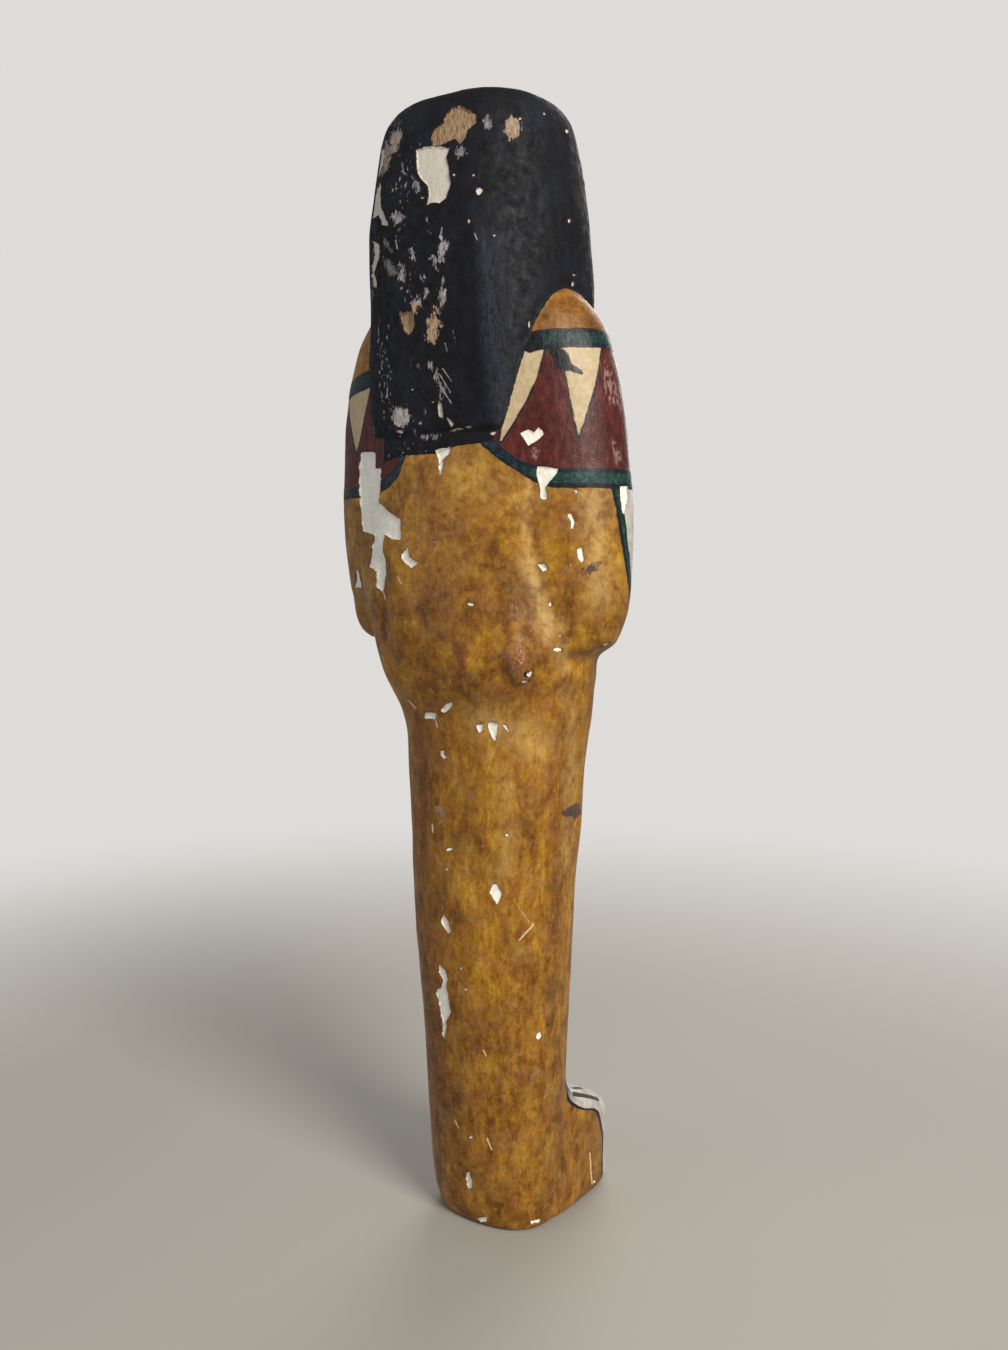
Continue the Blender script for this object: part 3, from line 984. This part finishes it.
# redder and greener patches, and paler ones where the varnish thins
ruddy = g.ramp(g.noise(P, 0.19, 4, 0.6, 0.4, seed=40), 0.50, 0.64)
ochre = g.mix(g.mul(ruddy, 0.34), ochre, srgb(146, 90, 50))
olive = g.ramp(g.noise(P, 0.16, 3, 0.6, 0.4, seed=41), 0.52, 0.66)
ochre = g.mix(g.mul(olive, 0.30), ochre, srgb(158, 122, 54))
thin = g.ramp(g.noise(P, 0.33, 4, 0.65, 0.4, seed=8), 0.56, 0.68)
ochre = g.mix(g.mul(thin, 0.26), ochre, srgb(190, 150, 92))
# brown pooled specks, and thin dark edges where coats of varnish overlap
pool = g.ramp(g.noise(g.scaled(P, (1, 1, 0.8)), 1.15, 3, 0.7, seed=9), 0.62, 0.70)
ochre = g.mix(g.mul(pool, 0.30), ochre, srgb(104, 60, 24))
coat = g.noise(g.scaled(P, (1, 1, 0.7)), 0.42, 4, 0.62, 0.6, seed=42)
edge = g.mul(g.ramp(g.math("ABSOLUTE", g.sub(coat, 0.53)), 0.0, 0.008, 1.0, 0.0), g.ramp(g.noise(P, 0.5, 2, 0.5, seed=43), 0.48, 0.60))
ochre = g.mix(g.mul(edge, 0.30), ochre, srgb(90, 52, 22))
ochre = g.mix(g.mul(g.ramp(coat, 0.525, 0.54), 0.10), ochre, srgb(196, 154, 90))
flecks = g.ramp(g.noise(P, 3.2, 1, 0.5, seed=10), 0.735, 0.78)
ochre = g.mix(g.mul(flecks, 0.45), ochre, srgb(66, 36, 16))
ochre = g.mix(g.mul(g.attr("pooled"), 0.26), ochre, srgb(112, 62, 34))
ochre = g.mix(g.mul(g.attr("pale"), g.ramp(blotch2, 0.34, 0.60, 0.30, 1.0), 0.72), ochre, srgb(208, 174, 116))

# collar
red_tone = g.noise(g.scaled(P, (1, 1, 0.5)), 0.75, 3, 0.6, seed=11)
red = g.colours(red_tone, [(0.25, srgb(54, 18, 15)), (0.5, srgb(80, 31, 26)), (0.75, srgb(108, 52, 42))])
cream_c = g.colours(g.noise(P, 0.8, 3, 0.6, seed=12), [(0.3, srgb(182, 158, 118)), (0.7, srgb(202, 181, 144))])
cream_c = g.mix(g.mul(g.ramp(g.noise(P, 1.6, 3, 0.7, seed=13), 0.60, 0.75), 0.35), cream_c, srgb(150, 120, 84))
green_c = g.colours(g.noise(g.scaled(P, (1, 1, 1.6)), 1.1, 3, 0.6, seed=14), [(0.3, srgb(13, 36, 33)), (0.52, srgb(24, 60, 53)), (0.78, srgb(60, 100, 87))])
black_c = g.colours(g.noise(P, 1.4, 2, 0.6, seed=15), [(0.3, srgb(14, 17, 20)), (0.7, srgb(30, 36, 44))])

up = g.add(g.attr("upper"), g.mul(wob, 0.28), g.mul(fray, 0.10))
slim = g.mul(g.ramp(X.outputs[0], -21.0, -16.0), g.ramp(X.outputs[1], 3.0, 8.0))  # the lower band thins out behind
lo = g.mul(g.add(g.attr("lower"), g.mul(wob, 0.30), g.mul(fray, 0.10)), g.lerp(slim, 1.0, 1.65))
in_collar = g.mul(g.ramp(up, -0.1, 0.1, 1.0, 0.0), g.ramp(lo, -0.1, 0.1))
cream_d = g.add(g.attr("cream"), g.mul(wob, 0.16), g.mul(fray, 0.09))
paint = g.mix(in_collar, ochre, red)
paint = g.mix(g.mul(in_collar, g.ramp(cream_d, -0.05, 0.05)), paint, cream_c)
rule = g.ramp(g.math("ABSOLUTE", g.add(cream_d, 0.12)), 0.10, 0.34, 1.0, 0.0)
rule = g.mul(rule, in_collar, g.ramp(g.noise(P, 0.6, 2, 0.5, seed=16), 0.34, 0.48))
paint = g.mix(g.mul(rule, 0.92), paint, black_c)

# front panel, its border and its strokes
panel_d = g.add(g.attr("panel"), g.mul(wob, 0.35), g.mul(fray, 0.08))
below = g.ramp(lo, -0.1, 0.1, 1.0, 0.0)
panel_on = g.mul(below, g.ramp(panel_d, -0.06, 0.06))
pale = g.colours(g.noise(g.scaled(P, (1, 1, 0.6)), 0.5, 4, 0.65, 0.4, seed=17), [(0.25, srgb(158, 149, 140)), (0.5, srgb(196, 188, 178)), (0.75, srgb(222, 216, 206))])
blue_grey = g.ramp(g.noise(P, 0.22, 3, 0.6, seed=18), 0.50, 0.66)
pale = g.mix(g.mul(blue_grey, 0.32), pale, srgb(120, 132, 138))
paint = g.mix(panel_on, paint, pale)
edge_green = g.mul(below, g.ramp(Z, 22.0, 30.0), g.ramp(g.math("ABSOLUTE", g.sub(panel_d, 0.75)), 0.62, 0.78, 1.0, 0.0))
paint = g.mix(edge_green, paint, green_c)
edge_black = g.mul(below, g.ramp(g.math("ABSOLUTE", panel_d), 0.34, 0.52, 1.0, 0.0), 1.0)
edge_black = g.maxi(edge_black, g.mul(below, g.ramp(Z, 22.0, 30.0), g.ramp(g.math("ABSOLUTE", g.sub(panel_d, 1.55)), 0.16, 0.30, 1.0, 0.0)))
paint = g.mix(edge_black, paint, black_c)
ink = mask("ink", 0.0, 0.10, 0.07)
paint = g.mix(g.mul(ink, 0.92), paint, black_c)


def stripe(d):
    """Green core with a heavier black line above and a finer one below."""
    core = g.ramp(g.math("ABSOLUTE", g.add(d, -0.12)), 0.88, 1.10, 1.0, 0.0)
    whole = g.mul(g.ramp(d, 1.90, 2.10, 1.0, 0.0), g.ramp(d, -1.95, -1.75))
    return core, whole


for d, shade in ((up, 0.5), (lo, 0.0)):
    core, whole = stripe(d)
    paint = g.mix(whole, paint, black_c)
    paint = g.mix(core, paint, g.mix(shade, green_c, srgb(12, 32, 30)))
# blue-black overpaint on the lower band where it climbs to the hem
climb = g.mul(g.ramp(g.math("ABSOLUTE", lo), 1.2, 1.6, 1.0, 0.0), g.ramp(g.noise(P, 0.45, 2, 0.5, seed=19), 0.30, 0.50, 0.35, 0.9))
near_back = g.mul(g.ramp(X.outputs[0], -20.0, -16.5), g.ramp(X.outputs[1], 8.0, 12.0))
paint = g.mix(g.mul(climb, near_back), paint, g.mix(g.ramp(g.noise(P, 0.9, 2, 0.5, seed=38), 0.45, 0.6), srgb(16, 22, 30), srgb(38, 48, 70)))

# hands, face and beard
skin_c = g.mix(0.35, ochre, srgb(168, 112, 44))
hand_on = mask("hand", 0.0, 0.05, 0.08)
paint = g.mix(hand_on, paint, skin_c)
rim = g.ramp(g.math("ABSOLUTE", g.add(g.attr("hand"), 0.25)), 0.12, 0.34, 1.0, 0.0)
paint = g.mix(g.mul(rim, 0.85), paint, black_c)

# wig
wig_tone = g.add(g.mul(g.noise(g.scaled(P, (1, 1, 0.3)), 0.5, 4, 0.65, seed=20), 0.6), g.mul(g.noise(P, 1.9, 3, 0.6, seed=21), 0.4))
wig_c = g.colours(wig_tone, [(0.34, srgb(4, 4, 6)), (0.52, srgb(9, 9, 13)), (0.68, srgb(25, 25, 34))])
blueish = g.ramp(g.noise(P, 0.13, 3, 0.6, seed=22), 0.48, 0.66)
wig_c = g.mix(g.mul(blueish, 0.30), wig_c, srgb(30, 34, 52))
brushed = g.noise(g.scaled(P, (1, 1, 0.5)), 1.1, 4, 0.7, 0.4, seed=39)
wig_c = g.mix(g.mul(g.attr("facet"), g.ramp(brushed, 0.36, 0.64, 0.05, 0.90)), wig_c, srgb(38, 41, 53))
hair_on = mask("hair", 0.18, 0.16, 0.06)
paint = g.mix(hair_on, paint, wig_c)

paint = g.mix(mask("skin", 0.0, 0.05, 0.08), paint, skin_c)
paint = g.mix(mask("beard", 0.0, 0.05, 0.08), paint, wig_c)
paint = g.mix(mask("eyewhite", 0.0, 0.03, 0.05), paint, srgb(222, 212, 192))
paint = g.mix(mask("eyeink", 0.0, 0.04, 0.06), paint, black_c)

# thin grey wear on the wig: small flecks, then the rubbed patches
left_side = g.ramp(g.add(X.outputs[0], g.mul(X.outputs[1], -0.25)), -12.0, 6.0)
fleck_n = g.noise(g.scaled(P, (1, 1, 0.55)), 1.5, 3, 0.62, seed=23)
cluster = g.mul(g.ramp(g.noise(g.scaled(P, (1, 1, 0.5)), 0.16, 2, 0.5, seed=35), 0.40, 0.62), left_side)
flecks_w = g.ramp(fleck_n, g.lerp(cluster, 0.745, 0.580), g.lerp(cluster, 0.765, 0.605))
flecks_w = g.mul(flecks_w, hair_on)
scuff_c = g.colours(g.noise(g.scaled(P, (1, 1, 0.6)), 1.3, 3, 0.6, seed=24), [(0.33, srgb(118, 112, 124)), (0.52, srgb(168, 158, 156)), (0.70, srgb(206, 194, 178))])
scuff_c = g.mix(g.attr("scufftan"), scuff_c, g.colours(g.noise(P, 1.2, 3, 0.6, seed=36), [(0.35, srgb(140, 112, 86)), (0.65, srgb(196, 166, 132))]))
paint = g.mix(g.mul(flecks_w, g.lerp(cluster, 0.45, 0.85)), paint, scuff_c)
flaky = g.mul(g.sub(g.noise(g.scaled(P, (1, 1, 0.42)), 2.0, 3, 0.65, seed=25), 0.5), 3.4)
scuff_on = g.ramp(g.add(g.attr("scuff"), g.mul(wob, 0.25), flaky, -0.02), -0.07, 0.07)
scuff_on = g.mul(scuff_on, g.ramp(g.attr("scuff"), -0.75, -0.25), g.ramp(g.attr("scuffway"), 0.0, 0.8))
paint = g.mix(scuff_on, paint, scuff_c)

# dark smudges, pale marks and scratches
high = g.ramp(Z, 165.0, 170.0)
dark_on = g.ramp(g.add(g.attr("dark"), g.mul(wob, 0.15), g.mul(fray, g.lerp(high, 0.8, 0.12))), -0.16, 0.16)
dark_on = g.mul(dark_on, g.maxi(g.maxi(high, g.ramp(Z, 105.0, 118.0, 1.0, 0.0)), g.ramp(g.noise(g.scaled(P, (1, 1, 0.8)), 1.2, 3, 0.65, seed=26), 0.38, 0.52)))
paint = g.mix(g.mul(dark_on, g.lerp(high, 0.80, 0.97)), paint, g.mix(high, srgb(46, 44, 58), srgb(14, 17, 20)))
worn = g.mul(g.ramp(g.add(g.attr("grey"), g.mul(fray, 0.5)), -0.3, 0.3), g.ramp(g.noise(g.scaled(P, (1, 1, 0.45)), 1.5, 3, 0.62, seed=37), 0.44, 0.56), 0.62)
paint = g.mix(worn, paint, g.mix(high, srgb(150, 142, 128), srgb(176, 136, 124)))
knot_on = mask("knot", 0.2, 0.4, 0.9)
paint = g.mix(g.mul(knot_on, 0.45), paint, g.colours(g.noise(P, 1.0, 3, 0.65, seed=44), [(0.35, srgb(104, 60, 44)), (0.6, srgb(150, 100, 76))]))
knot_rim = g.ramp(g.math("ABSOLUTE", g.add(g.attr("knot"), g.mul(wob, 0.2), 0.15)), 0.05, 0.45, 1.0, 0.0)
paint = g.mix(g.mul(knot_rim, g.ramp(fray, -0.3, 0.2), 0.45), paint, srgb(84, 48, 28))

gesso_c = g.colours(g.noise(P, 0.8, 3, 0.65, seed=27), [(0.3, srgb(236, 228, 212)), (0.6, srgb(248, 243, 231)), (0.8, srgb(253, 250, 242))])
dirt = g.ramp(g.noise(g.scaled(P, (1.4, 1.4, 0.5)), 1.4, 3, 0.65, seed=28), 0.56, 0.70)
gesso_c = g.mix(g.mul(dirt, 0.35, g.lerp(hair_on, 0.25, 1.0)), gesso_c, srgb(150, 138, 120))
gesso_c = g.mix(g.mul(hair_on, 0.62), gesso_c, srgb(186, 172, 154))
scratch_on = mask("scratch", 0.0, 0.14, 0.08)
paint = g.mix(g.mul(scratch_on, 0.85), paint, g.mix(hair_on, srgb(226, 205, 160), srgb(196, 188, 182)))

paint = g.mix(g.ramp(g.add(g.attr("hole"), g.mul(fray, 0.2)), -0.12, 0.12), paint, srgb(22, 14, 10))
chip_d = g.add(g.attr("gesso"), g.mul(fray, 0.13), g.mul(g.sub(grit, 0.5), 0.16))
chip_on = g.ramp(chip_d, -0.045, 0.045)
rim_dark = g.mul(g.ramp(chip_d, -0.30, -0.02), g.flip(chip_on))
paint = g.mix(g.mul(rim_dark, 0.38), paint, srgb(70, 44, 20))
paint = g.mix(chip_on, paint, gesso_c)

wood_d = g.add(g.attr("wood"), g.mul(fray, 0.35), g.mul(g.sub(grit, 0.5), 0.3))
wood_on = g.ramp(wood_d, -0.06, 0.06)
grain = g.noise(g.scaled(P, (1, 1, 0.07)), 3.2, 4, 0.65, 0.3, seed=29)
wood_c = g.colours(grain, [(0.3, srgb(104, 82, 60)), (0.5, srgb(150, 122, 92)), (0.72, srgb(188, 160, 124))])
paint = g.mix(wood_on, paint, wood_c)

# the worn rim of the underside
rim_wear = g.mul(g.ramp(Z, 0.35, 1.3, 1.0, 0.0), g.ramp(g.noise(P, 0.5, 3, 0.6, seed=30), 0.52, 0.60))
paint = g.mix(g.mul(rim_wear, 0.8), paint, srgb(150, 122, 92))
sole_on = g.ramp(Z, 0.02, 0.12, 1.0, 0.0)
paint = g.mix(sole_on, paint, srgb(150, 116, 76))

# gloss: waxy varnish on paint, dry gesso and wood
rough_n = g.noise(P, 0.55, 4, 0.65, seed=31)
rough = g.ramp(rough_n, 0.30, 0.72, 0.30, 0.52, smooth=False)
rough = g.lerp(hair_on, rough, g.lerp(g.attr("facet"), g.ramp(rough_n, 0.30, 0.72, 0.50, 0.92, smooth=False), g.ramp(rough_n, 0.30, 0.72, 0.36, 0.66, smooth=False)))
rough = g.lerp(knot_on, rough, 0.20)
bare_on = g.maxi(g.maxi(chip_on, wood_on), g.mul(scuff_on, 0.8))
rough = g.lerp(bare_on, rough, 0.86)

# bump: brushed varnish, fine pits, paint edges and grain
ht = g.mul(g.noise(g.scaled(P, (1, 1, 0.45)), 0.9, 4, 0.6, seed=32), 0.20)
ht = g.add(ht, g.mul(g.noise(P, 3.2, 3, 0.6, seed=33), 0.055))
ht = g.add(ht, g.mul(g.noise(g.scaled(P, (1, 1, 0.12)), 3.0, 3, 0.6, seed=34), 0.03))
ht = g.sub(ht, g.mul(chip_on, 0.16))
ht = g.sub(ht, g.mul(wood_on, g.sub(0.22, g.mul(grain, 0.25))))
ht = g.sub(ht, g.mul(scuff_on, 0.05))
for d in (up, lo):
    core, whole = stripe(d)
    ht = g.add(ht, g.mul(whole, g.flip(hair_on), 0.045))
ht = g.add(ht, g.mul(knot_on, g.noise(P, 1.5, 2, 0.5, seed=45), 0.35))
bump = g.t.nodes.new("ShaderNodeBump")
bump.inputs["Strength"].default_value = 0.75
bump.inputs["Distance"].default_value = 0.001
g.put(bump.inputs["Height"], ht)

bsdf = g.t.nodes.new("ShaderNodeBsdfPrincipled")
g.put(bsdf.inputs["Base Color"], paint)
g.put(bsdf.inputs["Roughness"], rough)
g.put(bsdf.inputs["Normal"], bump.outputs[0])
bsdf.inputs["Specular IOR Level"].default_value = 0.27
out = g.t.nodes.new("ShaderNodeOutputMaterial")
g.t.links.new(bsdf.outputs[0], out.inputs[0])
me.materials.append(mat)

# ---- floor, light, camera -----------------------------------------------------------------------------------------
bpy.ops.mesh.primitive_circle_add(vertices=96, radius=1.6, fill_type="NGON", location=(0, 0, 0))
floor = bpy.context.active_object
floor.name = "floor"
fm = bpy.data.materials.new("pale_floor")
h = Graph(fm)
geo = h.t.nodes.new("ShaderNodeTexCoord")
length = h.t.nodes.new("ShaderNodeVectorMath")
length.operation = "LENGTH"
h.t.links.new(geo.outputs["Object"], length.inputs[0])
fb = h.t.nodes.new("ShaderNodeBsdfPrincipled")
fb.inputs["Base Color"].default_value = (0.40, 0.375, 0.325, 1)
fb.inputs["Roughness"].default_value = 0.7
clear = h.t.nodes.new("ShaderNodeBsdfTransparent")
blend = h.t.nodes.new("ShaderNodeMixShader")
h.put(blend.inputs[0], h.ramp(length.outputs["Value"], 0.11, 0.42))
h.t.links.new(fb.outputs[0], blend.inputs[1])
h.t.links.new(clear.outputs[0], blend.inputs[2])
fo = h.t.nodes.new("ShaderNodeOutputMaterial")
h.t.links.new(blend.outputs[0], fo.inputs[0])
floor.data.materials.append(fm)

world = bpy.data.worlds.new("studio")
bpy.context.scene.world = world
world.use_nodes = True
w = world.node_tree
w.nodes.clear()
path = w.nodes.new("ShaderNodeLightPath")
seen = w.nodes.new("ShaderNodeBackground")
seen.inputs["Color"].default_value = (0.735, 0.715, 0.695, 1)
seen.inputs["Strength"].default_value = 1.0
lit = w.nodes.new("ShaderNodeBackground")
lit.inputs["Color"].default_value = (0.93, 0.96, 1.0, 1)
lit.inputs["Strength"].default_value = 0.27
mixw = w.nodes.new("ShaderNodeMixShader")
w.links.new(path.outputs["Is Camera Ray"], mixw.inputs[0])
w.links.new(lit.outputs[0], mixw.inputs[1])
w.links.new(seen.outputs[0], mixw.inputs[2])
wo = w.nodes.new("ShaderNodeOutputWorld")
w.links.new(mixw.outputs[0], wo.inputs[0])


def lamp(name, where, size, watts, colour, aim=(0, 0, 0.12)):
    data = bpy.data.lights.new(name, "AREA")
    data.shape = "DISK"
    data.size = size
    data.energy = watts
    data.color = colour
    ob = bpy.data.objects.new(name, data)
    ob.location = where
    ob.rotation_euler = (Vector(aim) - Vector(where)).to_track_quat("-Z", "Y").to_euler()
    bpy.context.scene.collection.objects.link(ob)
    return ob


R3, C3 = Vector(right), Vector(toward)
lamp("key", R3 * 0.42 + C3 * 0.66 + Vector((0, 0, 0.56)), 0.40, 8.4, (1.0, 0.97, 0.92))
lamp("fill", R3 * -0.75 + C3 * 0.35 + Vector((0, 0, 0.40)), 0.8, 1.3, (0.94, 0.97, 1.0))
lamp("front", R3 * 0.25 + C3 * -0.8 + Vector((0, 0, 0.55)), 0.7, 4.0, (1.0, 0.98, 0.95))

cam_data = bpy.data.cameras.new("camera")
cam_data.sensor_width = 36.0
cam_data.lens = 36.0 * FOCAL / 1350.0
cam_data.clip_start = 0.01
cam = bpy.data.objects.new("camera", cam_data)
m = Matrix.Identity(4)
for i in range(3):
    m[i][0], m[i][1], m[i][2] = right[i], above[i], -ahead[i]
    m[i][3] = (eye[i] - MID[i]) / 1000
cam.matrix_world = m
bpy.context.scene.collection.objects.link(cam)
bpy.context.scene.camera = cam
bpy.context.scene.view_settings.view_transform = "Standard"
